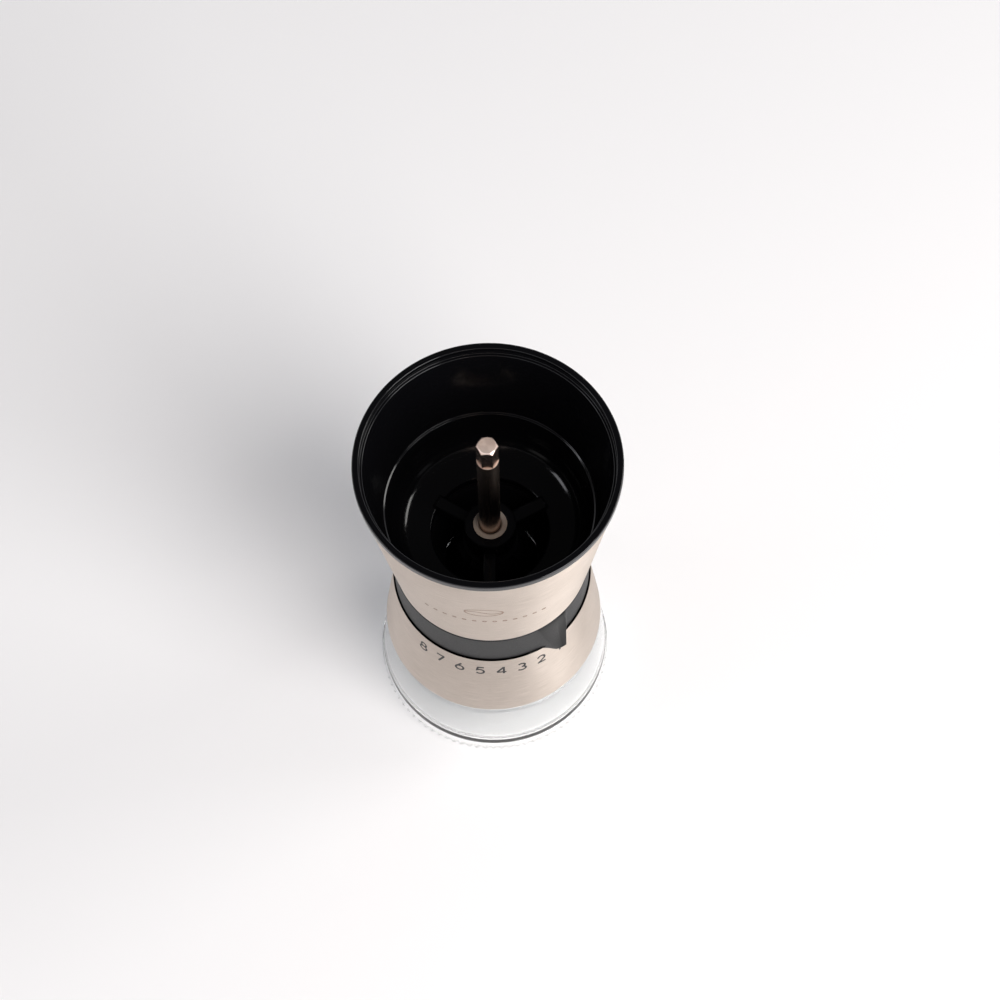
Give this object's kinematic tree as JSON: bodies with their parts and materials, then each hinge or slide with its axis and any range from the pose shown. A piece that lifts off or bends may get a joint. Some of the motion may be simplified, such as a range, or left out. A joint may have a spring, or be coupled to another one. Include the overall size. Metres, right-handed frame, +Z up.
{
  "type": "hand coffee grinder",
  "caption": "Hourglass-shaped hand coffee grinder with open black hopper, brushed steel shells, a numbered adjusting collar with pointer and a screw-on glass jar; hex shaft end for a crank.",
  "frame": {"origin": "centre of the glass foot on the table", "axes": "+Z up along the drive shaft, -Y towards the front with the dial digits, +X to the right"},
  "size_m": [0.085, 0.085, 0.168],
  "materials": {
    "black_gloss_plastic": "polished",
    "black_satin_plastic": "satin",
    "brushed_steel": "fine circumferential brushing",
    "plain_steel": "turned",
    "bronze": "turned",
    "grey_plastic": "satin",
    "black_ceramic": "fired",
    "clear_glass": "polished",
    "silicone": "soft"
  },
  "bodies": {
    "housing": {"hopper": "black_gloss_plastic", "upper_bush": "bronze", "upper_shell": "brushed_steel", "lower_shell": "brushed_steel", "core_tube": "grey_plastic", "collar_friction_ring": "silicone", "jar_collar": "grey_plastic", "lower_bridge": "grey_plastic", "lower_bush": "bronze", "hopper_screw_1": "plain_steel", "hopper_screw_2": "plain_steel", "hopper_screw_3": "plain_steel", "bridge_screw_1": "plain_steel", "bridge_screw_2": "plain_steel", "bridge_screw_3": "plain_steel"},
    "dial": {"adjusting_collar": "black_satin_plastic"},
    "carrier": {"burr_carrier": "grey_plastic", "outer_burr": "black_ceramic", "cam_pin_1": "plain_steel", "cam_pin_2": "plain_steel", "cam_pin_3": "plain_steel"},
    "spindle": {"drive_shaft": "plain_steel", "inner_burr": "black_ceramic", "drive_pin": "plain_steel", "burr_washer": "plain_steel", "burr_nut": "plain_steel", "thrust_washer": "plain_steel", "retaining_clip": "plain_steel"},
    "seal": {"jar_seal": "silicone"},
    "jar": {"glass_jar": "clear_glass"}
  },
  "joints": [
    {"name": "dial_turn", "type": "hinge", "parent": "housing", "child": "dial", "pos_m": [0, 0, 0.0805], "axis": [0, 0, 1], "range_deg": [-84, 0]},
    {"name": "burr_lift", "type": "slide", "parent": "housing", "child": "carrier", "axis": [0, 0, 1], "range_m": [0, 0.00141]},
    {"name": "spindle_spin", "type": "hinge", "parent": "housing", "child": "spindle", "pos_m": [0, 0, 0.105], "axis": [0, 0, 1], "continuous": true},
    {"name": "jar_drop", "type": "slide", "parent": "housing", "child": "seal", "axis": [0, 0, 1], "range_m": [-0.00502, 0]},
    {"name": "jar_turn", "type": "hinge", "parent": "seal", "child": "jar", "pos_m": [0, 0, 0.044], "axis": [0, 0, 1], "range_deg": [-450, 0]}
  ],
  "couplings": [
    {"joint": "burr_lift", "follows": "dial_turn", "m_per_rad": -0.00095493},
    {"joint": "jar_drop", "follows": "jar_turn", "m_per_rad": 0.00063662}
  ]
}
